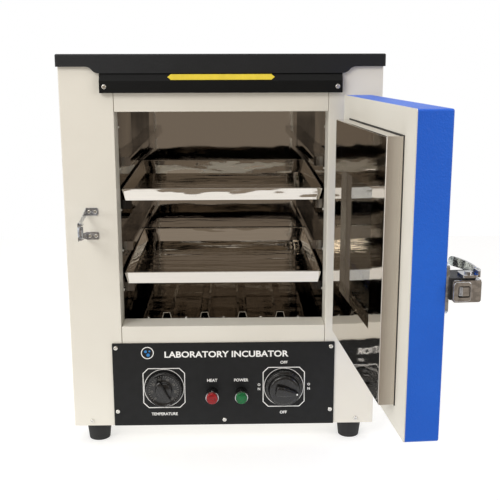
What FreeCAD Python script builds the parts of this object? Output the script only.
"""Bench laboratory incubator: double-walled cabinet, hinged insulated door, two trays, control panel.

Millimetres. X to the right, the front faces -Y, Z up. The origin is on the bench, at the centre of
the four feet. The door stands open at rest and is drawn closed first, then turned about its hinge.
"""
import FreeCAD, Part
import math
import os

V = FreeCAD.Vector
PARTS = "parts"

# ---------------------------------------------------------------- driving dimensions
WIDTH, DEPTH = 528.0, 490.0
FOOT_H = 36.0
BODY_H = 620.0
SHEET = 1.2
LINER = 1.0

HALF_W = WIDTH / 2
FRONT = -DEPTH / 2
REAR = DEPTH / 2
BASE_Z = FOOT_H
TOP_Z = BASE_Z + BODY_H

LID_H = 20.0
LID_OVER = 2.5
LID_NOSE = 7.0
LID_SHEET = 1.5
WALL_TOP = TOP_Z + LID_H - LID_SHEET
APRON_HALF, APRON_WIDE = 197.0, 219.0

OPEN_HALF = 176.0
OPEN_Z0 = BASE_Z + 182.0
OPEN_Z1 = BASE_Z + 548.0
REVEAL = 48.0
REVEAL_Y = FRONT + REVEAL
SEAM = 0.8

CHAMBER_DEPTH = 380.0
CHAMBER_BACK = REVEAL_Y + CHAMBER_DEPTH
CHAMBER_HALF = OPEN_HALF + 0.2
CHAMBER_FLOOR = OPEN_Z0 - 23.0
CHAMBER_TOP = OPEN_Z1 + 0.2

PANEL_HALF = 193.5
PANEL_TOP = BASE_Z + 152.0
PANEL_T = 2.0
PANEL_FACE = FRONT - PANEL_T
DIAL_X = 105.0
DIAL_Z = BASE_Z + 69.5
LAMP_X = (-20.5, 30.3)
LAMP_Z = BASE_Z + 60.0

RUNNER_TOPS = [BASE_Z + 245.0 + 74.0 * level for level in range(4)]
RUNNER_OUT = 18.0
RUNNER_H = 16.0

TRAY_BASE_HALF = 168.0
TRAY_FRONT_Y = FRONT + 55.0
TRAY_REAR_Y = CHAMBER_BACK - 10.0
TRAY_FRONT_LIP = 20.0
TRAY_REAR_LIP = 28.0
TRAY_LEAN = 0.25
TRAY_CLEAR = 0.4

DOOR_HALF = 207.0
DOOR_Z0 = BASE_Z + 163.0
DOOR_Z1 = BASE_Z + 575.0
DOOR_GAP = 4.0
DOOR_T = 45.0
DOOR_INNER = FRONT - DOOR_GAP
DOOR_OUTER = DOOR_INNER - DOOR_T
DOOR_OPEN_DEG = 94.0
HINGE_X = DOOR_HALF + 5.7
HINGE_Y = FRONT - 19.2
LINER_HALF = 159.0
LINER_Z0 = BASE_Z + 195.0
LINER_Z1 = BASE_Z + 540.0
LINER_RISE = 22.0
WINDOW_X0, WINDOW_X1 = -92.0, 108.0
WINDOW_Z0, WINDOW_Z1 = BASE_Z + 277.0, BASE_Z + 467.0
GLASS_T = 4.0

LATCH_Z = BASE_Z + 359.5
STRIKE_Z = LATCH_Z + 5.0
STRIKE_X = -225.0
STRIKE_Y = FRONT - 80.0

FOOT_X = 226.0
FOOT_Y = DEPTH / 2 - 35.0


# ---------------------------------------------------------------- helpers
def box(x0, x1, y0, y1, z0, z1):
    """Block between two opposite corners."""
    return Part.makeBox(x1 - x0, y1 - y0, z1 - z0, V(x0, y0, z0))


def rod(radius, length, base, direction):
    """Cylinder from a base point along a direction."""
    return Part.makeCylinder(radius, length, V(*base), V(*direction))


def cone(r0, r1, length, base, direction):
    """Cone frustum from a base point along a direction."""
    return Part.makeCone(r0, r1, length, V(*base), V(*direction))


def join(*shapes):
    """One solid out of touching shapes."""
    first, *rest = shapes
    return first.fuse(rest).removeSplitter() if rest else first


def group(shapes):
    """Several separate solids kept in one sub-part."""
    return Part.makeCompound(list(shapes))


def prism(points, vector):
    """Closed outline of 3-D points pushed along a vector."""
    ring = [V(*p) for p in points]
    wire = Part.makePolygon(ring + ring[:1])
    return Part.Face(wire).extrude(V(*vector))


def prism_xz(points, y0, y1):
    return prism([(x, y0, z) for x, z in points], (0, y1 - y0, 0))


def prism_xy(points, z0, z1):
    return prism([(x, y, z0) for x, y in points], (0, 0, z1 - z0))


def prism_yz(points, x0, x1):
    return prism([(x0, y, z) for y, z in points], (x1 - x0, 0, 0))


def mirror_x(shape):
    """Copy on the other side of the middle plane."""
    return shape.mirror(V(0, 0, 0), V(1, 0, 0))


def round_edges(shape, radius, wanted):
    """Fillet the straight edges whose middle point and direction satisfy a test."""
    chosen = []
    for edge in shape.Edges:
        if edge.Curve.TypeId != "Part::GeomLine":
            continue
        middle = (edge.Vertexes[0].Point + edge.Vertexes[1].Point) * 0.5
        along = (edge.Vertexes[1].Point - edge.Vertexes[0].Point).normalize()
        if wanted(middle, along):
            chosen.append(edge)
    return shape.makeFillet(radius, chosen)


def near(a, b, tol=0.05):
    return abs(a - b) < tol


def tube_path(points, bend):
    """Wire of straight runs joined by tangent arcs at each inner point."""
    pts = [V(*p) for p in points]
    edges = []
    last = pts[0]
    for before, corner, after in zip(pts, pts[1:], pts[2:]):
        back = (before - corner).normalize()
        ahead = (after - corner).normalize()
        half = back.getAngle(ahead) / 2
        reach = bend / math.tan(half)
        start = corner + back * reach
        stop = corner + ahead * reach
        centre_line = (back + ahead).normalize()
        middle = corner + centre_line * (bend / math.sin(half) - bend)
        edges.append(Part.LineSegment(last, start).toShape())
        edges.append(Part.Arc(start, middle, stop).toShape())
        last = stop
    edges.append(Part.LineSegment(last, pts[-1]).toShape())
    return Part.Wire(edges)


def tube(points, bend, radius):
    """Round bar swept along a bent path."""
    path = tube_path(points, bend)
    start = V(*points[0])
    direction = V(*points[1]) - start
    profile = Part.Wire([Part.makeCircle(radius, start, direction)])
    return path.makePipeShell([profile], True, False)


def pan_screw(at, inward, head_r=3.8, head_h=2.2, shank_r=1.9, shank=8.0):
    """Pan-head screw with a cross recess; inward points from the head into the work."""
    a = V(*inward).normalize()
    p = V(*at)
    head = Part.makeCylinder(head_r, head_h, p - a * head_h, a)
    outer = [e for e in head.Edges if near((e.CenterOfMass - (p - a * head_h)).Length, 0, 0.1)]
    head = head.makeFillet(head_h * 0.55, outer)
    side = V(0, 0, 1) if abs(a.z) < 0.9 else V(1, 0, 0)
    other = a.cross(side)
    reach, half, deep = head_r * 0.55, head_r * 0.13, head_h * 0.5
    for u, w in ((side, other), (other, side)):
        corner = p - a * head_h
        ring = [
            corner + u * reach + w * half,
            corner - u * reach + w * half,
            corner - u * reach - w * half,
            corner + u * reach - w * half,
        ]
        slot = Part.Face(Part.makePolygon(ring + ring[:1])).extrude(a * deep)
        head = head.cut(slot)
    return head.fuse(Part.makeCylinder(shank_r, shank, p, a)).removeSplitter()


def drill(shape, at, direction, radius, length):
    """Through hole centred on a point."""
    a = V(*direction).normalize()
    return shape.cut(Part.makeCylinder(radius, length, V(*at) - a * (length / 2), a))


SAVED = []


def save(name, shape):
    """Write one sub-part."""
    if not shape.isValid():
        print("NOT VALID", name)
    if any(s.Volume <= 0 for s in shape.Solids) or not shape.Solids:
        print("NO VOLUME", name)
    shape.exportStep(os.path.join(PARTS, name + ".step"))
    SAVED.append((name, len(shape.Solids), shape.Volume))


def save_on_door(name, shape):
    """Turn a piece drawn on the closed door to the resting open position, and write it."""
    turned = shape.copy()
    turned.rotate(V(HINGE_X, HINGE_Y, 0), V(0, 0, 1), DOOR_OPEN_DEG)
    save(name, turned)


# ---------------------------------------------------------------- cabinet sheet metal
SCREW_BAR = [(side * 188.5, BASE_Z + 588.5) for side in (-1, 1)]
SCREW_FOOT_CORNER = [(side * 233.2, BASE_Z + 8.8) for side in (-1, 1)]
SCREW_PANEL = [(-187.0, PANEL_TOP - 8), (187.0, PANEL_TOP - 8), (-187.0, BASE_Z + 27), (187.0, BASE_Z + 27)]
SCREW_PANEL_LOW = (0.5, BASE_Z + 9.5)
REAR_SCREW_Z = [BASE_Z + 30 + i * (BODY_H - 60) / 3 for i in range(4)]
HINGE_Z = (DOOR_Z0 + 70.0, DOOR_Z1 - 70.0)
HINGE_H = 64.0
STRIKE_FEET_Z = (BASE_Z + 342.5, BASE_Z + 383.5)
STRIKE_FOOT_X = (-228.5, -207.5)
STRIKE_SCREW_X = (-223.0, -212.5)


def side_panel(side):
    """Outer wall, front stile and reveal return folded from one sheet (side is -1 or 1)."""
    wall = box(-HALF_W, -HALF_W + SHEET, FRONT, REAR - SHEET, BASE_Z, WALL_TOP)
    stile = box(-HALF_W, -OPEN_HALF, FRONT, FRONT + SHEET, BASE_Z, WALL_TOP)
    back_flange = box(-HALF_W, -HALF_W + 18, REAR - 2 * SHEET, REAR - SHEET, BASE_Z, WALL_TOP)
    reveal = box(-OPEN_HALF - SHEET, -OPEN_HALF, FRONT, REVEAL_Y, BASE_Z, WALL_TOP)
    shape = join(wall, stile, back_flange, reveal)
    shape = round_edges(
        shape, 2.0, lambda m, d: near(abs(d.z), 1) and near(m.x, -HALF_W) and near(m.y, FRONT)
    )
    shape = round_edges(
        shape, 0.8,
        lambda m, d: near(abs(d.z), 1) and near(m.x, -HALF_W + SHEET) and near(m.y, FRONT + SHEET),
    )
    shape = round_edges(
        shape, 1.2, lambda m, d: near(abs(d.z), 1) and near(m.x, -OPEN_HALF) and near(m.y, FRONT)
    )
    if side > 0:
        shape = mirror_x(shape)
    holes = [(side * 188.5, SCREW_BAR[0][1]), (side * 233.2, SCREW_FOOT_CORNER[0][1])]
    holes += [(side * 187.0, SCREW_PANEL[0][1]), (side * 187.0, SCREW_PANEL[2][1])]
    for x, z in holes:
        shape = drill(shape, (x, FRONT, z), (0, 1, 0), 2.0, 6)
    for z in REAR_SCREW_Z:
        shape = drill(shape, (side * (HALF_W - 9), REAR - SHEET, z), (0, 1, 0), 2.0, 8)
    if side < 0:
        for z in STRIKE_FEET_Z:
            for x in STRIKE_SCREW_X:
                shape = drill(shape, (x, FRONT, z), (0, 1, 0), 1.7, 6)
    else:
        for z in HINGE_Z:
            for x, dz in hinge_screw_offsets():
                shape = drill(shape, (x, FRONT, z + dz), (0, 1, 0), 2.0, 6)
    return shape


def hinge_screw_offsets():
    return [(x, dz) for x in (226.0, 240.0) for dz in (-18.0, 18.0)]


def base_panel():
    """Bottom pan with turned-up edges, notched round the reveal returns."""
    x1, y0, y1 = HALF_W - SHEET, FRONT + SHEET, REAR - 2 * SHEET
    outer = box(-x1, x1, y0, y1, BASE_Z, BASE_Z + 14)
    outer = round_edges(outer, 1.6, lambda m, d: near(abs(d.z), 1))
    inner = box(-x1 + SHEET, x1 - SHEET, y0 + SHEET, y1 - SHEET, BASE_Z + SHEET, BASE_Z + 15)
    pan = outer.cut(inner)
    front_gap = box(-OPEN_HALF - 4, OPEN_HALF + 4, y0 - 1, y0 + SHEET + 0.1, BASE_Z + SHEET, BASE_Z + 15)
    pan = pan.cut(front_gap)
    for side in (-1, 1):
        x = side * (OPEN_HALF + SHEET / 2)
        pan = pan.cut(box(x - 1.0, x + 1.0, y0 - 1, REVEAL_Y + 0.4, BASE_Z - 1, BASE_Z + 15))
        corner = side * 233.2
        pan = drill(pan, (corner, y0, SCREW_FOOT_CORNER[0][1]), (0, 1, 0), 2.0, 6)
        for y in (-FOOT_Y, FOOT_Y):
            pan = drill(pan, (side * FOOT_X, y, BASE_Z), (0, 0, 1), 3.2, 6)
        for z in REAR_SCREW_Z:
            rear_at = (side * (HALF_W - 9), REAR - 2 * SHEET, z)
            pan = drill(pan, rear_at, (0, 1, 0), 2.2, 8)
    return pan.removeSplitter()


GLAND_X, GLAND_Z = 150.0, BASE_Z + 50.0
VENT_ROWS = [BASE_Z + 42.0 + 11.0 * i for i in range(5)]


def back_panel():
    """Flat rear cover with the cable entry and a block of cooling slots for the wiring space."""
    panel = box(-HALF_W, HALF_W, REAR - SHEET, REAR, BASE_Z, WALL_TOP)
    for z in VENT_ROWS:
        slot = box(-118, -52, REAR - 3, REAR + 1, z - 2, z + 2)
        ends = [rod(2.0, 4, (x, REAR - 3, z), (0, 1, 0)) for x in (-118, -52)]
        panel = panel.cut(slot.fuse(ends))
    panel = drill(panel, (GLAND_X, REAR, GLAND_Z), (0, 1, 0), 8.1, 8)
    for side in (-1, 1):
        for z in REAR_SCREW_Z:
            panel = drill(panel, (side * (HALF_W - 9), REAR, z), (0, 1, 0), 2.0, 6)
    return panel


def ogee_end(side, z_high, z_low):
    """S-curve of two equal arcs, level at both ends, from the side skirt down to the apron."""
    run, drop = (APRON_WIDE - APRON_HALF) / 2, (z_high - z_low) / 2
    radius = (run * run + drop * drop) / (2 * drop)
    turn = math.asin(run / radius) / 2
    dx, dz = radius * math.sin(turn), radius * (1 - math.cos(turn))
    start = V(side * APRON_WIDE, 0, z_high)
    middle = V(side * (APRON_WIDE - run), 0, z_high - drop)
    stop = V(side * APRON_HALF, 0, z_low)
    upper = Part.Arc(start, V(side * (APRON_WIDE - dx), 0, z_high - dz), middle)
    lower = Part.Arc(middle, V(side * (APRON_HALF + dx), 0, z_low + dz), stop)
    return [upper.toShape(), lower.toShape()]


def top_lid():
    """Folded lid with skirts on all sides; the front skirt has a deeper middle apron."""
    x1 = HALF_W + LID_OVER
    y0, y1 = FRONT - LID_NOSE, REAR + LID_OVER
    z0, z1 = TOP_Z, TOP_Z + LID_H
    low = TOP_Z - 10.5
    outer = box(-x1, x1, y0, y1, z0, z1)
    outer = round_edges(outer, 3.0, lambda m, d: near(abs(d.z), 1))
    rim = [e for e in outer.Edges if near(e.CenterOfMass.z, z1)]
    outer = outer.makeFillet(2.5, rim)
    inner = box(-x1 + LID_SHEET, x1 - LID_SHEET, y0 + LID_SHEET, y1 - LID_SHEET, z0 - 1, WALL_TOP)
    lid = outer.cut(inner)
    hidden = z0 + 8.0
    edges = ogee_end(-1, z0, low) + ogee_end(1, z0, low)
    corners = [(-APRON_WIDE, z0), (-APRON_WIDE, hidden), (APRON_WIDE, hidden), (APRON_WIDE, z0)]
    corners = [V(x, 0, z) for x, z in corners]
    edges += [Part.LineSegment(p, q).toShape() for p, q in zip(corners, corners[1:])]
    edges.append(Part.LineSegment(V(-APRON_HALF, 0, low), V(APRON_HALF, 0, low)).toShape())
    outline = Part.Wire(Part.__sortEdges__(edges))
    apron = Part.Face(outline).extrude(V(0, LID_SHEET, 0))
    apron.translate(V(0, y0, 0))
    return join(lid, apron)


BAR_HALF = 196.5
BAR_BOTTOM = BASE_Z + 578.5
BAR_CREASE = BASE_Z + 597.7
BAR_TOP = TOP_Z - 10.5
BAR_FACE = FRONT - 12.0
BAR_SLOPE_TOP_Y = FRONT - 5.0


def front_bar():
    """Folded black rail under the lid: upright lower face and a slope above it, ends closed."""
    profile = [
        (FRONT, BAR_BOTTOM),
        (BAR_FACE, BAR_BOTTOM),
        (BAR_FACE, BAR_CREASE),
        (BAR_SLOPE_TOP_Y, BAR_TOP),
        (FRONT, BAR_TOP),
    ]
    inside = [
        (FRONT + 1, BAR_BOTTOM + 1.5),
        (BAR_FACE + 1.5, BAR_BOTTOM + 1.5),
        (BAR_FACE + 1.5, BAR_CREASE - 0.6),
        (BAR_SLOPE_TOP_Y + 0.9, BAR_TOP - 1.5),
        (FRONT + 1, BAR_TOP - 1.5),
    ]
    bar = prism_yz(profile, -BAR_HALF, BAR_HALF)
    bar = bar.cut(prism_yz(inside, -BAR_HALF + 1.5, BAR_HALF - 1.5))
    bar = round_edges(bar, 1.5, lambda m, d: near(m.y, BAR_FACE) and near(m.z, BAR_CREASE))
    bar = round_edges(bar, 1.0, lambda m, d: near(m.y, BAR_FACE) and near(m.z, BAR_BOTTOM))
    for x, z in SCREW_BAR:
        bar = drill(bar, (x, BAR_FACE, z), (0, 1, 0), 2.0, 6)
    return bar


def accent_strip():
    """Coloured strip with pointed ends lying on the rail's slope."""
    dy, dz = BAR_SLOPE_TOP_Y - BAR_FACE, BAR_TOP - BAR_CREASE
    length = math.hypot(dy, dz)
    up = V(0, dy / length, dz / length)
    out = V(0, -dz / length, dy / length)
    start = V(0, BAR_FACE, BAR_CREASE)
    low, high, half, tip = 1.4, length - 2.2, 81.0, 86.5
    mid = (low + high) / 2
    outline = [(-half, low), (half, low), (tip, mid), (half, high), (-half, high), (-tip, mid)]
    ring = [start + V(x, 0, 0) + up * s for x, s in outline]
    return Part.Face(Part.makePolygon(ring + ring[:1])).extrude(out * 0.8)


def front_frame_top():
    """Cream strip over the opening with its return into the reveal."""
    x1 = OPEN_HALF - SEAM
    face = box(-x1, x1, FRONT, FRONT + SHEET, OPEN_Z1, WALL_TOP)
    reveal = box(-x1, x1, FRONT, REVEAL_Y, OPEN_Z1, OPEN_Z1 + SHEET)
    strip = join(face, reveal)
    return round_edges(
        strip, 1.0, lambda m, d: near(m.z, OPEN_Z1) and near(m.y, FRONT) and near(abs(d.x), 1)
    )


def front_frame_sill():
    """Cream strip under the opening, with the flat sill behind it and a stiffening lip below."""
    x1 = OPEN_HALF - SEAM
    face = box(-x1, x1, FRONT, FRONT + SHEET, PANEL_TOP - 8, OPEN_Z0)
    sill = box(-x1, x1, FRONT, REVEAL_Y, OPEN_Z0 - SHEET, OPEN_Z0)
    lip = box(-x1, x1, FRONT, FRONT + 15, PANEL_TOP - 8, PANEL_TOP - 8 + SHEET)
    strip = join(face, sill, lip)
    return round_edges(
        strip, 1.0, lambda m, d: near(m.z, OPEN_Z0) and near(m.y, FRONT) and near(abs(d.x), 1)
    )


def case_screws():
    """Rail, lower corner, control panel and rear cover screws, all alike."""
    screws = [pan_screw((x, BAR_FACE, z), (0, 1, 0), shank=16) for x, z in SCREW_BAR]
    screws += [pan_screw((x, FRONT, z), (0, 1, 0)) for x, z in SCREW_FOOT_CORNER]
    screws += [pan_screw((x, PANEL_FACE, z), (0, 1, 0)) for x, z in SCREW_PANEL]
    screws.append(pan_screw((SCREW_PANEL_LOW[0], PANEL_FACE, SCREW_PANEL_LOW[1]), (0, 1, 0), shank=5))
    for side in (-1, 1):
        screws += [pan_screw((side * (HALF_W - 9), REAR, z), (0, -1, 0)) for z in REAR_SCREW_Z]
    return group(screws)


# ---------------------------------------------------------------- chamber
CHAMBER_SCREW_Z = [BASE_Z + 233.5 + 71.5 * i for i in range(5)]
FLOOR_SCREW_X = [67.0 * i for i in range(-2, 3)]
CHAMBER_SCREW_Y = REVEAL_Y + 8.0
LEDGE_Z = OPEN_Z0 - 2.2
HEATER_LEG_X = 120.0
HEATER_Z = CHAMBER_FLOOR + 10.5
HEATER_R = 4.0
BULB_X = -60.0


def chamber_shell():
    """Stainless inner box, open at the front above the sill, with a ledge for the false floor."""
    xo, xi = CHAMBER_HALF + LINER, CHAMBER_HALF
    outer = box(-xo, xo, REVEAL_Y, CHAMBER_BACK + LINER, CHAMBER_FLOOR - LINER, CHAMBER_TOP + LINER)
    inner = box(-xi, xi, REVEAL_Y - 1, CHAMBER_BACK, CHAMBER_FLOOR, CHAMBER_TOP)
    shell = outer.cut(inner)
    front_lip = box(-xi, xi, REVEAL_Y, REVEAL_Y + LINER, CHAMBER_FLOOR, LEDGE_Z)
    ledge = box(-xi, xi, REVEAL_Y, REVEAL_Y + 20, LEDGE_Z - LINER, LEDGE_Z)
    shell = join(shell, front_lip, ledge)
    for z in CHAMBER_SCREW_Z:
        shell = drill(shell, (0, CHAMBER_SCREW_Y, z), (1, 0, 0), 1.7, 2 * xo + 4)
    for x in FLOOR_SCREW_X:
        shell = drill(shell, (x, CHAMBER_SCREW_Y, LEDGE_Z), (0, 0, 1), 1.7, 6)
        shell = drill(shell, (x, CHAMBER_SCREW_Y, CHAMBER_TOP), (0, 0, 1), 1.7, 6)
    for x in (-HEATER_LEG_X, HEATER_LEG_X):
        shell = drill(shell, (x, CHAMBER_BACK - 60, CHAMBER_FLOOR), (0, 0, 1), HEATER_R + 0.1, 6)
    return drill(shell, (BULB_X, CHAMBER_BACK - 60, CHAMBER_FLOOR), (0, 0, 1), 1.7, 6)


def chamber_collar():
    """Galvanised strip that ties the front returns to the chamber's rim on three sides."""
    y0, y1 = REVEAL_Y - 18, REVEAL_Y + 18
    x0 = CHAMBER_HALF + LINER
    z1 = CHAMBER_TOP + LINER
    sides = [box(s * x0 if s > 0 else -x0 - SHEET, x0 + SHEET if s > 0 else -x0, y0, y1, OPEN_Z0, z1)
             for s in (-1, 1)]
    across = box(-x0 - SHEET, x0 + SHEET, y0, y1, z1, z1 + SHEET)
    collar = join(across, *sides)
    for z in CHAMBER_SCREW_Z:
        collar = drill(collar, (0, CHAMBER_SCREW_Y, z), (1, 0, 0), 1.7, 2 * x0 + 8)
    for x in FLOOR_SCREW_X:
        collar = drill(collar, (x, CHAMBER_SCREW_Y, z1), (0, 0, 1), 1.7, 6)
    slit = OPEN_HALF + SHEET / 2
    for side in (-1, 1):
        collar = collar.cut(box(side * slit - 0.8, side * slit + 0.8, y0 - 1, REVEAL_Y, z1 - 1, z1 + 3))
    return collar


def chamber_screws():
    """Small dome screws round the chamber's front rim."""
    make = dict(head_r=2.7, head_h=1.7, shank_r=1.6, shank=4.0)
    screws = []
    for z in CHAMBER_SCREW_Z:
        screws.append(pan_screw((-CHAMBER_HALF, CHAMBER_SCREW_Y, z), (-1, 0, 0), **make))
        screws.append(pan_screw((CHAMBER_HALF, CHAMBER_SCREW_Y, z), (1, 0, 0), **make))
    for x in FLOOR_SCREW_X:
        screws.append(pan_screw((x, CHAMBER_SCREW_Y, LEDGE_Z + LINER), (0, 0, -1), **make))
        screws.append(pan_screw((x, CHAMBER_SCREW_Y, CHAMBER_TOP), (0, 0, 1), **make))
    return group(screws)


def shelf_runner(z_top):
    """Pressed channel on the left wall, closed at its front end, with two wall flanges."""
    x0 = -CHAMBER_HALF
    xf = x0 + RUNNER_OUT
    z0 = z_top - RUNNER_H
    y0, y1 = REVEAL_Y + 16, CHAMBER_BACK
    hat = box(x0, xf, y0, y1, z0, z_top)
    hat = round_edges(hat, 3.0, lambda m, d: near(m.x, xf) and near(abs(d.y), 1))
    core = box(x0 - 1, xf - LINER, y0 + LINER, y1 + 1, z0 + LINER, z_top - LINER)
    core = round_edges(core, 2.0, lambda m, d: near(m.x, xf - LINER) and near(abs(d.y), 1))
    hat = hat.cut(core)
    upper = box(x0, x0 + LINER, y0, y1, z_top - LINER, z_top + 7)
    lower = box(x0, x0 + LINER, y0, y1, z0 - 7, z0 + LINER)
    return join(hat, upper, lower)


FLOOR_RIB_X = [67.3 * i for i in (-1.5, -0.5, 0.5, 1.5)]
RIB_H, RIB_FOOT, RIB_CREST = 13.0, 9.0, 6.0


def false_floor():
    """Corrugated loose floor: flat sheet with four raised ribs running front to back."""
    z0, x1 = LEDGE_Z, CHAMBER_HALF - 1.0
    top = [(-x1, z0 + LINER)]
    for x in FLOOR_RIB_X:
        top += [(x - RIB_FOOT, z0 + LINER), (x - RIB_CREST, z0 + RIB_H)]
        top += [(x + RIB_CREST, z0 + RIB_H), (x + RIB_FOOT, z0 + LINER)]
    top.append((x1, z0 + LINER))
    under = [(x1, z0)]
    for x in reversed(FLOOR_RIB_X):
        under += [(x + RIB_FOOT - 1.1, z0), (x + RIB_CREST - 0.7, z0 + RIB_H - LINER)]
        under += [(x - RIB_CREST + 0.7, z0 + RIB_H - LINER), (x - RIB_FOOT + 1.1, z0)]
    under.append((-x1, z0))
    sheet = prism_xz(top + under, REVEAL_Y + 1.0, CHAMBER_BACK - 1.0)
    for x in FLOOR_SCREW_X:
        sheet = drill(sheet, (x, CHAMBER_SCREW_Y, z0), (0, 0, 1), 1.7, 6)
    return sheet


def heater_element():
    """Sheathed element bent back and forth under the false floor, both ends going down."""
    y_far, y_near = CHAMBER_BACK - 60, REVEAL_Y + 40
    step = 2 * HEATER_LEG_X / 3
    xs = [-HEATER_LEG_X + step * i for i in range(4)]
    z = HEATER_Z
    points = [(xs[0], y_far, BASE_Z + 85), (xs[0], y_far, z), (xs[0], y_near, z)]
    points += [(xs[1], y_near, z), (xs[1], y_far - 30, z)]
    points += [(xs[2], y_far - 30, z), (xs[2], y_near, z)]
    points += [(xs[3], y_near, z), (xs[3], y_far, z), (xs[3], y_far, BASE_Z + 85)]
    return tube(points, 10.0, HEATER_R)


# ---------------------------------------------------------------- insulation
WOOL_Z0 = BASE_Z + 118.0
WOOL_Z1 = TOP_Z + 12.0


def insulation_sides():
    left = box(-HALF_W + SHEET, -CHAMBER_HALF - LINER - SHEET, FRONT + 2.4, REAR - 2.4, WOOL_Z0, WOOL_Z1)
    cut_out = [rod(4.4, 30, (-CHAMBER_HALF - 6, CHAMBER_SCREW_Y, z), (1, 0, 0)) for z in CHAMBER_SCREW_Z]
    for z in STRIKE_FEET_Z:
        cut_out += [rod(4, 20, (x, FRONT, z), (0, 1, 0)) for x in STRIKE_SCREW_X]
    for z in HINGE_Z:
        cut_out += [rod(4, 20, (-x, FRONT, z + dz), (0, 1, 0)) for x, dz in hinge_screw_offsets()]
    cut_out += [rod(4, 12, (x, FRONT, z), (0, 1, 0)) for x, z in (SCREW_BAR[0], SCREW_PANEL[0])]
    cut_out += [rod(4, 12, (-HALF_W + 9, REAR - 12, z), (0, 1, 0)) for z in REAR_SCREW_Z]
    left = left.cut(cut_out)
    return group([left, mirror_x(left)])


def insulation_back():
    x1 = CHAMBER_HALF + LINER + SHEET
    return box(-x1, x1, CHAMBER_BACK + LINER, REAR - SHEET, WOOL_Z0, WOOL_Z1)


def insulation_top():
    x1 = OPEN_HALF - SEAM
    block = box(-x1, x1, FRONT + SHEET, CHAMBER_BACK + LINER, CHAMBER_TOP + LINER + SHEET, WOOL_Z1)
    return block.cut([rod(4, 10, (x, CHAMBER_SCREW_Y, CHAMBER_TOP), (0, 0, 1)) for x in FLOOR_SCREW_X])


def insulation_bottom():
    x1 = OPEN_HALF - SEAM
    block = box(-x1, x1, FRONT + SHEET, CHAMBER_BACK + LINER, WOOL_Z0, CHAMBER_FLOOR - LINER)
    nose = box(-x1, x1, FRONT + SHEET, REVEAL_Y, CHAMBER_FLOOR - LINER, OPEN_Z0 - SHEET)
    block = join(block, nose)
    block = block.cut(box(-x1 - 1, x1 + 1, FRONT, FRONT + 16, WOOL_Z0 - 1, PANEL_TOP - 8 + SHEET))
    for x in (-HEATER_LEG_X, HEATER_LEG_X):
        block = drill(block, (x, CHAMBER_BACK - 60, WOOL_Z0), (0, 0, 1), HEATER_R + 0.5, 300)
    return drill(block, (BULB_X, CHAMBER_BACK - 60, WOOL_Z0), (0, 0, 1), 2.5, 300)


# ---------------------------------------------------------------- control panel
def control_panel():
    """Black plate over the wiring space, drilled for the screws, two spindles and two lamps."""
    plate = box(-PANEL_HALF, PANEL_HALF, PANEL_FACE, FRONT, BASE_Z, PANEL_TOP)
    plate = round_edges(plate, 1.5, lambda m, d: near(abs(d.y), 1))
    for x, z in SCREW_PANEL:
        plate = drill(plate, (x, FRONT, z), (0, 1, 0), 2.0, 8)
    plate = drill(plate, (SCREW_PANEL_LOW[0], FRONT, SCREW_PANEL_LOW[1]), (0, 1, 0), 2.0, 8)
    for x in (-DIAL_X, DIAL_X):
        plate = drill(plate, (x, FRONT, DIAL_Z), (0, 1, 0), 5.1, 8)
    for x in LAMP_X:
        plate = drill(plate, (x, FRONT, LAMP_Z), (0, 1, 0), 7.6, 8)
    return plate


SPINDLE_R = 3.0
SPINDLE_BORE = 3.05
SPINDLE_Y0, SPINDLE_Y1 = FRONT + 8.0, FRONT - 20.0


def rotary_body(x, half_w, half_h, depth):
    """Case behind the panel with a threaded-style bush through it, bored for its spindle."""
    case = box(x - half_w, x + half_w, FRONT, FRONT + depth, DIAL_Z - half_h, DIAL_Z + half_h)
    bush = rod(5.0, PANEL_T + 2.0, (x, PANEL_FACE - 2.0, DIAL_Z), (0, 1, 0))
    body = join(case, bush)
    return body.cut(rod(SPINDLE_BORE, 30, (x, PANEL_FACE - 4, DIAL_Z), (0, 1, 0)).common(
        box(x - 9, x + 9, PANEL_FACE - 4, SPINDLE_Y0 + 0.5, DIAL_Z - 9, DIAL_Z + 9)))


def spindle(x):
    return rod(SPINDLE_R, SPINDLE_Y0 - SPINDLE_Y1, (x, SPINDLE_Y1, DIAL_Z), (0, 1, 0))


def capillary():
    """Sensing bulb under the false floor and its fine tube down to the thermostat."""
    y_bulb = CHAMBER_BACK - 60
    z_bulb = CHAMBER_FLOOR + 8
    start = (-DIAL_X + 10, FRONT + 40, DIAL_Z + 22)
    points = [start, (start[0], start[1], DIAL_Z + 36), (start[0], y_bulb, DIAL_Z + 36)]
    points += [(BULB_X, y_bulb, DIAL_Z + 36), (BULB_X, y_bulb, z_bulb), (BULB_X, y_bulb - 30, z_bulb)]
    line = tube(points, 6.0, 1.2)
    bulb = rod(3.5, 70, (BULB_X, y_bulb - 100, z_bulb), (0, 1, 0))
    return join(line, bulb)


DIAL_R, DIAL_FRONT, DIAL_GRIP = 31.5, 12.0, 25.0
SWITCH_R, SWITCH_RIM, SWITCH_FRONT, SWITCH_GRIP = 32.0, 12.0, 20.0, 32.0
KNOB_GAP = 2.4
DIAL_REST_DEG = 62.0
SWITCH_REST_DEG = 10.0


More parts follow.
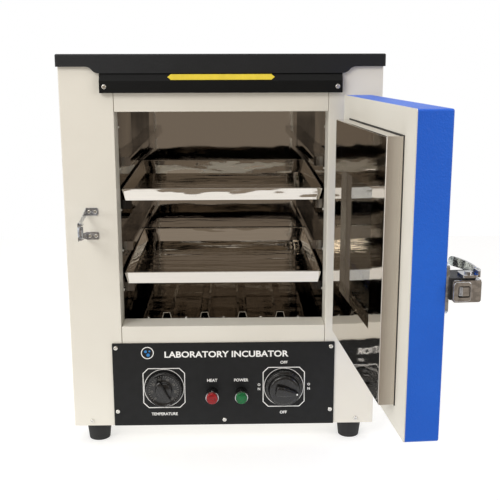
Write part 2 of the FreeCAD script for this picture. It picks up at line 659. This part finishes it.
def dial_knob():
    """Thermostat knob: disc with raised scale ticks, a low hub and a finger bar across it."""
    base = PANEL_FACE - KNOB_GAP
    front = PANEL_FACE - DIAL_FRONT
    disc = cone(DIAL_R, DIAL_R - 0.8, DIAL_FRONT - KNOB_GAP, (-DIAL_X, base, DIAL_Z), (0, -1, 0))
    hub = cone(14.0, 12.5, 5.0, (-DIAL_X, front, DIAL_Z), (0, -1, 0))
    ticks = []
    for i in range(28):
        tick = box(-0.45, 0.45, front - 0.6, front + 0.5, DIAL_R - 5.5, DIAL_R - 2.0)
        tick.rotate(V(0, 0, 0), V(0, 1, 0), 45.0 - 10.0 * i)
        tick.translate(V(-DIAL_X, 0, DIAL_Z))
        ticks.append(tick)
    bar_y = PANEL_FACE - DIAL_GRIP
    bar = box(-5.0, 5.0, bar_y, front + 1.0, -21.0, 21.0)
    bar = round_edges(bar, 4.5, lambda m, d: near(abs(d.y), 1))
    bar = bar.makeFillet(1.6, [e for e in bar.Edges if near(e.CenterOfMass.y, bar_y)])
    bar.rotate(V(0, 0, 0), V(0, 1, 0), DIAL_REST_DEG)
    bar.translate(V(-DIAL_X, 0, DIAL_Z))
    knob = join(disc, hub, bar, *ticks)
    return knob.cut(rod(SPINDLE_R, 30, (-DIAL_X, SPINDLE_Y1, DIAL_Z), (0, 1, 0)))


def pointer_knob():
    """Rotary switch knob: stepped skirt and an arrow-shaped grip that points to its position."""
    base = PANEL_FACE - KNOB_GAP
    skirt = cone(SWITCH_R, SWITCH_R - 1.0, SWITCH_RIM - KNOB_GAP, (DIAL_X, base, DIAL_Z), (0, -1, 0))
    rim_y = PANEL_FACE - SWITCH_RIM
    dome_high = SWITCH_FRONT - SWITCH_RIM
    dome = cone(SWITCH_R - 2.0, SWITCH_R - 5.0, dome_high, (DIAL_X, rim_y, DIAL_Z), (0, -1, 0))
    tip_y = PANEL_FACE - SWITCH_GRIP
    arrow = [(-16, -9.5), (-16, 9.5), (0, 9), (25.5, 2), (25.5, -2), (0, -9)]
    grip = prism_xz(arrow, tip_y, PANEL_FACE - SWITCH_FRONT + 1.0)
    grip = grip.makeFillet(2.0, [e for e in grip.Edges if near(e.CenterOfMass.y, tip_y)])
    grip.rotate(V(0, 0, 0), V(0, 1, 0), SWITCH_REST_DEG)
    grip.translate(V(DIAL_X, 0, DIAL_Z))
    knob = join(skirt, dome, grip)
    return knob.cut(rod(SPINDLE_R, 30, (DIAL_X, SPINDLE_Y1, DIAL_Z), (0, 1, 0)))


LAMP_COLLAR, LAMP_RING, LAMP_FRONT = 22.0, 25.0, 30.0


def lamp_parts():
    """Pilot lamps: holder through the panel, bright ring, and a coloured cap in front."""
    holders, rings, caps = [], [], []
    for x in LAMP_X:
        thread = rod(7.5, 22, (x, PANEL_FACE, LAMP_Z), (0, 1, 0))
        collar = cone(10.5, 10.0, LAMP_COLLAR, (x, PANEL_FACE, LAMP_Z), (0, -1, 0))
        holders.append(join(thread, collar))
        ring_at = (x, PANEL_FACE - LAMP_COLLAR, LAMP_Z)
        ring = rod(11.2, LAMP_RING - LAMP_COLLAR, ring_at, (0, -1, 0))
        rings.append(ring.cut(rod(9.4, LAMP_RING, ring_at, (0, -1, 0))))
        cap = rod(9.4, LAMP_FRONT - LAMP_COLLAR, ring_at, (0, -1, 0))
        tip = [e for e in cap.Edges if near(e.CenterOfMass.y, PANEL_FACE - LAMP_FRONT)]
        caps.append(cap.makeFillet(2.6, tip))
    return group(holders), group(rings), caps


def terminal_block():
    """Ceramic-style connector strip on the base behind the panel."""
    block = box(-40, 40, -60, -36, BASE_Z + SHEET, BASE_Z + SHEET + 22)
    for i in range(4):
        x = -30 + 20 * i
        block = block.cut(rod(3.2, 12, (x, -48, BASE_Z + SHEET + 22), (0, 0, -1)))
        block = block.cut(box(x - 7, x + 7, -61, -55, BASE_Z + SHEET + 12, BASE_Z + SHEET + 23))
    return block


def cable_gland():
    """Moulded cable entry in the rear cover."""
    flange = rod(12.0, 5.0, (GLAND_X, REAR, GLAND_Z), (0, 1, 0))
    dome = cone(9.5, 7.5, 9.0, (GLAND_X, REAR + 5, GLAND_Z), (0, 1, 0))
    neck = rod(8.0, 8.0, (GLAND_X, REAR - 8, GLAND_Z), (0, 1, 0))
    nut = rod(11.0, 4.0, (GLAND_X, REAR - SHEET - 4, GLAND_Z), (0, 1, 0))
    gland = join(flange, dome, neck, nut)
    return gland.cut(rod(4.5, 40, (GLAND_X, REAR - 12, GLAND_Z), (0, 1, 0)))


# ---------------------------------------------------------------- feet
def feet():
    """Four tapered rubber feet, each with a round recess open at the bottom for its screw."""
    made = []
    for sx in (-1, 1):
        for sy in (-1, 1):
            x, y = sx * FOOT_X, sy * FOOT_Y
            foot = cone(18.5, 22.5, FOOT_H, (x, y, 0), (0, 0, 1))
            foot = foot.makeFillet(2.0, [e for e in foot.Edges if near(e.CenterOfMass.z, 0)])
            foot = foot.cut(rod(6.0, 16.0, (x, y, 0), (0, 0, 1)))
            foot = foot.cut(rod(5.2, 22.0, (x, y, 0), (0, 0, 1)))
            foot = foot.cut(rod(3.1, FOOT_H + 1, (x, y, 0), (0, 0, 1)))
            made.append(foot)
    return group(made)


def foot_screws():
    screws = []
    for sx in (-1, 1):
        for sy in (-1, 1):
            at = (sx * FOOT_X, sy * FOOT_Y, 22.0)
            screws.append(pan_screw(at, (0, 0, 1), head_r=5.1, head_h=3.6, shank_r=3.0, shank=24.0))
    return group(screws)


# ---------------------------------------------------------------- hinges and strike
KNUCKLE_R = 5.0
PIN_R = 2.5


def hinge_cabinet_leaf(z):
    """Plate on the stile, a web forward and the lower knuckle."""
    z0, z1 = z - HINGE_H / 2, z + HINGE_H / 2
    plate = box(HINGE_X - 2.5, 250, FRONT - 2.5, FRONT, z0, z1)
    web = box(HINGE_X - 2.5, HINGE_X + 0.5, HINGE_Y, FRONT, z0, z - 0.25)
    knuckle = rod(KNUCKLE_R, HINGE_H / 2 - 0.25, (HINGE_X, HINGE_Y, z0), (0, 0, 1))
    leaf = join(plate, web, knuckle)
    leaf = leaf.cut(rod(PIN_R, HINGE_H, (HINGE_X, HINGE_Y, z0 - 1), (0, 0, 1)))
    for x, dz in hinge_screw_offsets():
        leaf = drill(leaf, (x, FRONT, z + dz), (0, 1, 0), 2.0, 12)
        leaf = leaf.cut(cone(2.0, 4.0, 2.0, (x, FRONT - 0.5, z + dz), (0, -1, 0)))
    return leaf


def hinge_door_leaf(z):
    """Plate on the door's edge and the upper knuckle, drawn with the door closed."""
    z0, z1 = z - HINGE_H / 2, z + HINGE_H / 2
    plate = box(DOOR_HALF, DOOR_HALF + 2.2, DOOR_OUTER + 5, DOOR_INNER - 3, z0, z1)
    knuckle = rod(KNUCKLE_R, HINGE_H / 2 - 0.25, (HINGE_X, HINGE_Y, z + 0.25), (0, 0, 1))
    lower_gap = rod(KNUCKLE_R + 0.6, HINGE_H / 2 + 1, (HINGE_X, HINGE_Y, z0 - 0.75), (0, 0, 1))
    leaf = join(plate.cut(lower_gap), knuckle)
    return leaf.cut(rod(PIN_R + 0.06, HINGE_H, (HINGE_X, HINGE_Y, z0), (0, 0, 1)))


def hinge_pin(z):
    """Pin held in the cabinet's knuckle, with a button head on top of the door's knuckle."""
    stem = rod(PIN_R, HINGE_H, (HINGE_X, HINGE_Y, z - HINGE_H / 2), (0, 0, 1))
    head = rod(4.0, 2.0, (HINGE_X, HINGE_Y, z + HINGE_H / 2 + 0.4), (0, 0, 1))
    neck = rod(PIN_R, 1.0, (HINGE_X, HINGE_Y, z + HINGE_H / 2 - 0.2), (0, 0, 1))
    return join(stem, neck, head)


def countersunk(at, inward, head_r=3.9, shank_r=1.9, shank=9.0):
    """Flat-headed screw, its head's face at the given point."""
    a = V(*inward).normalize()
    p = V(*at)
    screw = Part.makeCone(head_r, shank_r, 2.0, p, a).fuse(Part.makeCylinder(shank_r, shank, p, a))
    side = V(0, 0, 1)
    other = a.cross(side)
    ring = [p + side * s * 2.4 + other * t * 0.4 for s, t in ((1, 1), (-1, 1), (-1, -1), (1, -1))]
    slot = Part.Face(Part.makePolygon(ring + ring[:1])).extrude(a * 0.8)
    return screw.cut(slot).removeSplitter()


def fitting_screws():
    """Countersunk screws of the hinges and small pan screws of the strike."""
    screws = []
    for z in HINGE_Z:
        screws += [countersunk((x, FRONT - 2.5, z + dz), (0, 1, 0)) for x, dz in hinge_screw_offsets()]
    make = dict(head_r=3.0, head_h=1.8, shank_r=1.6, shank=7.0)
    for z in STRIKE_FEET_Z:
        screws += [pan_screw((x, FRONT - 1.5, z), (0, 1, 0), **make) for x in STRIKE_SCREW_X]
    return group(screws)


def strike_bracket():
    """Two screwed feet with legs that run forward and close in on the roller."""
    legs = []
    for sign, foot_z in ((-1, STRIKE_FEET_Z[0]), (1, STRIKE_FEET_Z[1])):
        foot = box(STRIKE_FOOT_X[0], STRIKE_FOOT_X[1], FRONT - 1.5, FRONT, foot_z - 6.5, foot_z + 6.5)
        foot = round_edges(foot, 3.0, lambda m, d: near(abs(d.y), 1) and near(m.x, STRIKE_FOOT_X[1]))
        z_wall = foot_z
        z_tip = STRIKE_Z + sign * 11.5
        half = 6.5
        outline = [
            (FRONT, z_wall - half),
            (FRONT, z_wall + half),
            (STRIKE_Y + 26, z_tip + 3.6),
            (STRIKE_Y - 5, z_tip + 3.0),
            (STRIKE_Y - 5, z_tip - 3.0),
            (STRIKE_Y + 26, z_tip - 3.6),
        ]
        leg = prism_yz(outline, STRIKE_FOOT_X[0], STRIKE_FOOT_X[0] + 1.5)
        ear = box(STRIKE_FOOT_X[0], STRIKE_X + 4.5, STRIKE_Y - 5, STRIKE_Y + 5,
                  z_tip - 1.0, z_tip + 1.0)
        legs.append(join(foot, leg, ear))
    bracket = group(legs).cut(rod(1.5, 60, (STRIKE_X, STRIKE_Y, STRIKE_Z - 30), (0, 0, 1)))
    holes = [rod(1.65, 6, (x, FRONT - 4, z), (0, 1, 0)) for z in STRIKE_FEET_Z for x in STRIKE_SCREW_X]
    return bracket.cut(holes)


def strike_roller():
    """Roller with its pin, held between the two legs."""
    roller = rod(4.5, 15.4, (STRIKE_X, STRIKE_Y, STRIKE_Z - 7.7), (0, 0, 1))
    pin = rod(1.5, 26.0, (STRIKE_X, STRIKE_Y, STRIKE_Z - 13.0), (0, 0, 1))
    heads = [rod(1.95, 1.4, (STRIKE_X, STRIKE_Y, STRIKE_Z + z), (0, 0, 1)) for z in (-13.9, 12.5)]
    return join(roller, pin, *heads)


# ---------------------------------------------------------------- trays
def tray(runner_top):
    """Shallow sheet tray with four sloped lips; the rear lip stands higher."""
    z = runner_top + TRAY_CLEAR

    def frustum(inset, z_floor):
        grow = TRAY_LEAN * (z_floor - z)
        x0 = TRAY_BASE_HALF - inset + grow
        yf, yr = TRAY_FRONT_Y + inset - grow, TRAY_REAR_Y - inset + grow
        hf, hr = TRAY_FRONT_LIP - (z_floor - z), TRAY_REAR_LIP - (z_floor - z)
        extra = 6.0 if inset else 0.0
        hf, hr = hf + extra, hr + extra
        low = [V(-x0, yf, z_floor), V(x0, yf, z_floor), V(x0, yr, z_floor), V(-x0, yr, z_floor)]
        tops = []
        for corner, sx, sy, h in zip(low, (-1, 1, 1, -1), (-1, -1, 1, 1), (hf, hf, hr, hr)):
            tops.append(corner + V(sx * TRAY_LEAN * h, sy * TRAY_LEAN * h, h))
        faces = [Part.Face(Part.makePolygon(low + low[:1]))]
        for i in range(4):
            j = (i + 1) % 4
            faces.append(Part.Face(Part.makePolygon([low[i], low[j], tops[j], tops[i], low[i]])))
        faces.append(Part.Face(Part.makePolygon(tops + tops[:1])))
        solid = Part.Solid(Part.Shell(faces))
        if solid.Volume < 0:
            solid.reverse()
        return solid

    outer = frustum(0.0, z)
    inner = frustum(LINER * 1.03, z + LINER)
    return outer.cut(inner)


# ---------------------------------------------------------------- door, drawn closed
WINDOW = (WINDOW_X0, WINDOW_X1, WINDOW_Z0, WINDOW_Z1)


def window_block(margin, y0, y1):
    """Block through the window opening, larger than it by a margin on each side."""
    x0, x1, z0, z1 = WINDOW
    return box(x0 - margin, x1 + margin, y0, y1, z0 - margin, z1 + margin)


def door_outer_shell():
    """Blue folded pan: outer face and four sides with soft corners, window cut out."""
    back = DOOR_INNER - SHEET
    outer = box(-DOOR_HALF, DOOR_HALF, DOOR_OUTER, back, DOOR_Z0, DOOR_Z1)
    outer = round_edges(outer, 3.0, lambda m, d: near(abs(d.y), 1))
    face_edges = [e for e in outer.Edges if near(e.CenterOfMass.y, DOOR_OUTER, 0.5)]
    outer = outer.makeFillet(2.5, face_edges)
    inner = box(-DOOR_HALF + SHEET, DOOR_HALF - SHEET, DOOR_OUTER + SHEET, back + 1, DOOR_Z0 + SHEET,
                DOOR_Z1 - SHEET)
    inner = round_edges(inner, 1.8, lambda m, d: near(abs(d.y), 1))
    inner = round_edges(inner, 1.3, lambda m, d: near(m.y, DOOR_OUTER + SHEET))
    shell = outer.cut(inner)
    shell = shell.cut(window_block(0, DOOR_OUTER - 1, DOOR_OUTER + SHEET + 1))
    for x, z in latch_screw_places():
        shell = drill(shell, (x, DOOR_OUTER, z), (0, 1, 0), 1.9, 8)
    return shell


def door_inner_pan():
    """Cream plate over the back of the door with a folded rim inside the outer shell."""
    plate = box(-DOOR_HALF, DOOR_HALF, DOOR_INNER - SHEET, DOOR_INNER, DOOR_Z0, DOOR_Z1)
    plate = round_edges(plate, 3.0, lambda m, d: near(abs(d.y), 1))
    inset = SHEET + 0.1
    x1 = DOOR_HALF - inset
    rim_outer = box(-x1, x1, DOOR_INNER - 16, DOOR_INNER - SHEET, DOOR_Z0 + inset, DOOR_Z1 - inset)
    rim_outer = round_edges(rim_outer, 1.7, lambda m, d: near(abs(d.y), 1))
    within = inset + SHEET
    rim_inner = box(-x1 + SHEET, x1 - SHEET, DOOR_INNER - 17, DOOR_INNER, DOOR_Z0 + within, DOOR_Z1 - within)
    pan = join(plate, rim_outer.cut(rim_inner))
    hole = box(-LINER_HALF + 8, LINER_HALF - 8, DOOR_INNER - 20, DOOR_INNER + 1, LINER_Z0 + 8, LINER_Z1 - 8)
    return pan.cut(hole)


RECESS = 7.0


def door_liner():
    """Raised stainless panel with the window's edges turned in to hold the glass."""
    face_y = DOOR_INNER + LINER_RISE
    outer = box(-LINER_HALF, LINER_HALF, DOOR_INNER, face_y, LINER_Z0, LINER_Z1)
    outer = round_edges(outer, 1.6, lambda m, d: near(m.y, face_y))
    inner = box(-LINER_HALF + LINER, LINER_HALF - LINER, DOOR_INNER - 1, face_y - LINER,
                LINER_Z0 + LINER, LINER_Z1 - LINER)
    liner = outer.cut(inner)
    liner = liner.cut(window_block(0, face_y - 4, face_y + 1))
    cuff = window_block(LINER, face_y - RECESS - LINER, face_y - LINER)
    cuff = cuff.cut(window_block(0, face_y - RECESS - 5, face_y + 1))
    return join(liner, cuff)


def door_insulation():
    """Wool slab that fills the door round the window tunnel."""
    x1 = DOOR_HALF - 2 * SHEET - 0.6
    slab = box(-x1, x1, DOOR_OUTER + SHEET + 0.2, DOOR_INNER - SHEET, DOOR_Z0 + 3.2, DOOR_Z1 - 3.2)
    crown = box(-LINER_HALF + 9, LINER_HALF - 9, DOOR_INNER - SHEET, DOOR_INNER + LINER_RISE - LINER - 0.2,
                LINER_Z0 + 9, LINER_Z1 - 9)
    wool = join(slab, crown)
    wool = wool.cut(window_block(9.0, DOOR_OUTER - 5, DOOR_INNER + 40))
    relief = [rod(4, 12, (x, DOOR_OUTER, z), (0, 1, 0)) for x, z in latch_screw_places()]
    return wool.cut(relief)


GLASS_IN_Y = DOOR_INNER + LINER_RISE - RECESS - LINER
GLASS_OUT_Y = DOOR_OUTER + SHEET


def window_tunnel():
    """Bright lining between the two panes."""
    y0, y1 = GLASS_OUT_Y + GLASS_T, GLASS_IN_Y - GLASS_T
    return window_block(8.5, y0, y1).cut(window_block(7.5, y0 - 1, y1 + 1))


def window_frame():
    """Outer glazing bead on the blue face."""
    bead = window_block(12.0, DOOR_OUTER - 3.0, DOOR_OUTER)
    bead = round_edges(bead, 6.0, lambda m, d: near(abs(d.y), 1))
    outer_ring = [e for e in bead.Edges if near(e.CenterOfMass.y, DOOR_OUTER - 3.0, 0.3)]
    bead = bead.makeFillet(1.4, outer_ring)
    return bead.cut(window_block(-2.0, DOOR_OUTER - 4, DOOR_OUTER + 1))


def liner_seal():
    """Dark silicone lip round the foot of the raised panel."""
    x1 = LINER_HALF + 1.2
    outer = box(-x1, x1, DOOR_INNER, DOOR_INNER + 1.2, LINER_Z0 - 1.2, LINER_Z1 + 1.2)
    inner = box(-LINER_HALF, LINER_HALF, DOOR_INNER - 1, DOOR_INNER + 4, LINER_Z0, LINER_Z1)
    return outer.cut(inner)


# ---------------------------------------------------------------- latch, drawn on the closed door
PLATE_X0, PLATE_X1 = -205.0, -163.0
LATCH_Y = DOOR_OUTER
BOLT_X1 = -176.0
BOLT_TIP = -217.4
BOLT_Y0, BOLT_Y1 = LATCH_Y - 25.0, LATCH_Y - 13.0
CAGE_X0 = -218.0
CAGE_HALF_H = 13.5
PIVOT_X, PIVOT_Y = -198.0, LATCH_Y - 29.5


def latch_screw_places():
    return [(x, LATCH_Z + dz) for x in (-197.0, -171.0) for dz in (-25.0, 25.0)]


def latch_base():
    """Mounting plate with rounded ears above and below the body."""
    plate = box(PLATE_X0, PLATE_X1, LATCH_Y - 4, LATCH_Y, LATCH_Z - 32, LATCH_Z + 32)
    plate = round_edges(plate, 8.0, lambda m, d: near(abs(d.y), 1))
    for x, z in latch_screw_places():
        plate = drill(plate, (x, LATCH_Y, z), (0, 1, 0), 1.9, 12)
    return plate


def latch_body():
    """Black cast body with a guide for the bolt and a bore for the lever's pin."""
    body = box(-209.0, -167.0, LATCH_Y - 36, LATCH_Y - 4, LATCH_Z - 12.0, LATCH_Z + 15)
    body = round_edges(body, 4.0, lambda m, d: near(abs(d.z), 1) and m.y < LATCH_Y - 20)
    guide = box(-210, BOLT_X1 + 0.6, BOLT_Y0 - 0.4, BOLT_Y1 + 0.4, LATCH_Z - 5.9, LATCH_Z + 5.9)
    body = body.cut(guide)
    return drill(body, (PIVOT_X, PIVOT_Y, LATCH_Z), (0, 0, 1), 2.56, 80)


def latch_cage():
    """Steel jaw over the body's free end: end plate with a raised frame round the bolt, and cheeks."""
    y0, y1 = LATCH_Y - 40, LATCH_Y - 5.5
    z0, z1 = LATCH_Z - CAGE_HALF_H, LATCH_Z + CAGE_HALF_H
    end = box(CAGE_X0 + 2.0, CAGE_X0 + 8.8, y0, y1, z0, z1)
    end = round_edges(end, 3.0, lambda m, d: near(abs(d.x), 1))
    rim = box(CAGE_X0, CAGE_X0 + 3.0, y1 - 21.5, y1, z0 + 1.5, z1 - 1.5)
    rim = round_edges(rim, 3.5, lambda m, d: near(abs(d.x), 1))
    rim = rim.makeFillet(0.8, [e for e in rim.Edges if near(e.CenterOfMass.x, CAGE_X0)])
    slot = box(CAGE_X0 - 1, CAGE_X0 + 10, BOLT_Y0 - 0.6, BOLT_Y1 + 2.0, LATCH_Z - 7.0, LATCH_Z + 7.0)
    slot = round_edges(slot, 2.0, lambda m, d: near(abs(d.x), 1))
    lower = box(CAGE_X0 + 4, -180, y0 + 2, y1 - 2, z0, z0 + 1.5)
    outer = box(CAGE_X0 + 4, -184, y0, y0 + 4, z0, z1)
    cage = join(end, rim, lower, outer).cut(slot)
    return drill(cage, (PIVOT_X, PIVOT_Y, z0), (0, 0, 1), 2.56, 8)


def latch_screws():
    make = dict(head_r=3.4, head_h=2.0, shank_r=1.8, shank=11.0)
    return group([pan_screw((x, LATCH_Y - 4, z), (0, 1, 0), **make) for x, z in latch_screw_places()])


def latch_bolt():
    """Sliding bolt with a bevelled nose."""
    bolt = box(BOLT_TIP, BOLT_X1, BOLT_Y0, BOLT_Y1, LATCH_Z - 5.5, LATCH_Z + 5.5)
    nose = [(BOLT_TIP - 1, BOLT_Y1 + 1), (BOLT_TIP + 5, BOLT_Y1 + 1), (BOLT_TIP - 1, BOLT_Y1 - 5)]
    return bolt.cut(prism_xy(nose, LATCH_Z - 9, LATCH_Z + 9))


def latch_lever():
    """Curved blade on a cranked root, with the pin it turns on and a button under the body."""
    root_z0 = LATCH_Z + 15.3
    root = box(-211.0, -186.0, PIVOT_Y - 8.5, PIVOT_Y + 11.0, root_z0, root_z0 + 3.2)
    root = round_edges(root, 4.0, lambda m, d: near(abs(d.z), 1))
    riser = box(-209.0, -190.0, PIVOT_Y - 11.0, PIVOT_Y - 8.4, root_z0, root_z0 + 7.5)
    thick = 2.6
    path = [(-209, PIVOT_Y - 11), (-158, PIVOT_Y - 22), (-101, PIVOT_Y - 9)]
    outside = Part.Arc(*[V(x, y, 0) for x, y in path]).toShape()
    inside = Part.Arc(*[V(x, y + thick, 0) for x, y in path]).toShape()
    ends = [Part.LineSegment(V(x, y, 0), V(x, y + thick, 0)).toShape() for x, y in (path[0], path[-1])]
    outline = Part.Wire(Part.__sortEdges__([outside, ends[1], inside, ends[0]]))
    blade = Part.Face(outline).extrude(V(0, 0, 20))
    blade.translate(V(0, 0, root_z0 - 11.0))
    tip_z = root_z0 - 3.0
    side_view = [(-212, root_z0), (-192, root_z0), (-166, tip_z - 6.0), (-107.5, tip_z - 6.4),
                 (-107.5, tip_z + 6.4), (-166, tip_z + 5.5), (-196, root_z0 + 6.5), (-212, root_z0 + 6.5)]
    tip = rod(6.4, 60, (-107.5, PIVOT_Y - 40, tip_z), (0, 1, 0))
    blade = blade.common(prism_xz(side_view, PIVOT_Y - 40, PIVOT_Y + 20).fuse(tip))
    pin = rod(2.5, 33.0, (PIVOT_X, PIVOT_Y, LATCH_Z - 16.5), (0, 0, 1))
    button = rod(4.2, 2.4, (PIVOT_X, PIVOT_Y, LATCH_Z - 17.4), (0, 0, 1))
    boss = rod(5.0, 2.2, (PIVOT_X, PIVOT_Y, root_z0 + 3.0), (0, 0, 1))
    return join(root, riser, blade, pin, button, boss)


# ---------------------------------------------------------------- build
def build_cabinet():
    save("side_panel_left", side_panel(-1))
    save("side_panel_right", side_panel(1))
    save("back_panel", back_panel())
    save("base_panel", base_panel())
    save("top_lid", top_lid())
    save("front_bar", front_bar())
    save("accent_strip", accent_strip())
    save("front_frame_top", front_frame_top())
    save("front_frame_sill", front_frame_sill())
    save("case_screws", case_screws())
    save("insulation_sides", insulation_sides())
    save("insulation_back", insulation_back())
    save("insulation_top", insulation_top())
    save("insulation_bottom", insulation_bottom())
    save("feet", feet())
    save("foot_screws", foot_screws())
    save("cable_gland", cable_gland())
    save("hinge_cabinet_leaves", group([hinge_cabinet_leaf(z) for z in HINGE_Z]))
    save("hinge_pins", group([hinge_pin(z) for z in HINGE_Z]))
    save("strike_bracket", strike_bracket())
    save("strike_roller", strike_roller())
    save("fitting_screws", fitting_screws())


def build_chamber():
    save("chamber_shell", chamber_shell())
    save("chamber_collar", chamber_collar())
    save("chamber_screws", chamber_screws())
    left = [shelf_runner(z) for z in RUNNER_TOPS]
    save("shelf_runners_left", group(left))
    save("shelf_runners_right", group([mirror_x(r) for r in left]))
    save("false_floor", false_floor())
    save("heater_element", heater_element())
    save("tray_lower", tray(RUNNER_TOPS[0]))
    save("tray_upper", tray(RUNNER_TOPS[2]))


def build_controls():
    save("control_panel", control_panel())
    save("thermostat_body", rotary_body(-DIAL_X, 30.0, 22.0, 50.0))
    save("thermostat_spindle", spindle(-DIAL_X))
    save("thermostat_knob", dial_knob())
    save("thermostat_capillary", capillary())
    save("switch_body", rotary_body(DIAL_X, 24.0, 24.0, 58.0))
    save("switch_spindle", spindle(DIAL_X))
    save("switch_knob", pointer_knob())
    holders, rings, caps = lamp_parts()
    save("lamp_holders", holders)
    save("lamp_rings", rings)
    save("lamp_cap_load", caps[0])
    save("lamp_cap_main", caps[1])
    save("terminal_block", terminal_block())


def build_door():
    save_on_door("door_outer_shell", door_outer_shell())
    save_on_door("door_inner_pan", door_inner_pan())
    save_on_door("door_liner", door_liner())
    save_on_door("door_insulation", door_insulation())
    save_on_door("liner_seal", liner_seal())
    save_on_door("window_glass_inner", window_block(6.0, GLASS_IN_Y - GLASS_T, GLASS_IN_Y))
    save_on_door("window_glass_outer", window_block(6.0, GLASS_OUT_Y, GLASS_OUT_Y + GLASS_T))
    save_on_door("window_tunnel", window_tunnel())
    save_on_door("window_frame", window_frame())
    save_on_door("hinge_door_leaves", group([hinge_door_leaf(z) for z in HINGE_Z]))
    save_on_door("latch_base", latch_base())
    save_on_door("latch_body", latch_body())
    save_on_door("latch_cage", latch_cage())
    save_on_door("latch_screws", latch_screws())
    save_on_door("latch_bolt", latch_bolt())
    save_on_door("latch_lever", latch_lever())


os.makedirs(PARTS, exist_ok=True)
build_cabinet()
build_chamber()
build_controls()
build_door()
print(len(SAVED), "sub-parts")
for name, solids, volume in SAVED:
    print(f"{name:24s} {solids:3d} solids {volume / 1000:10.2f} cm3")
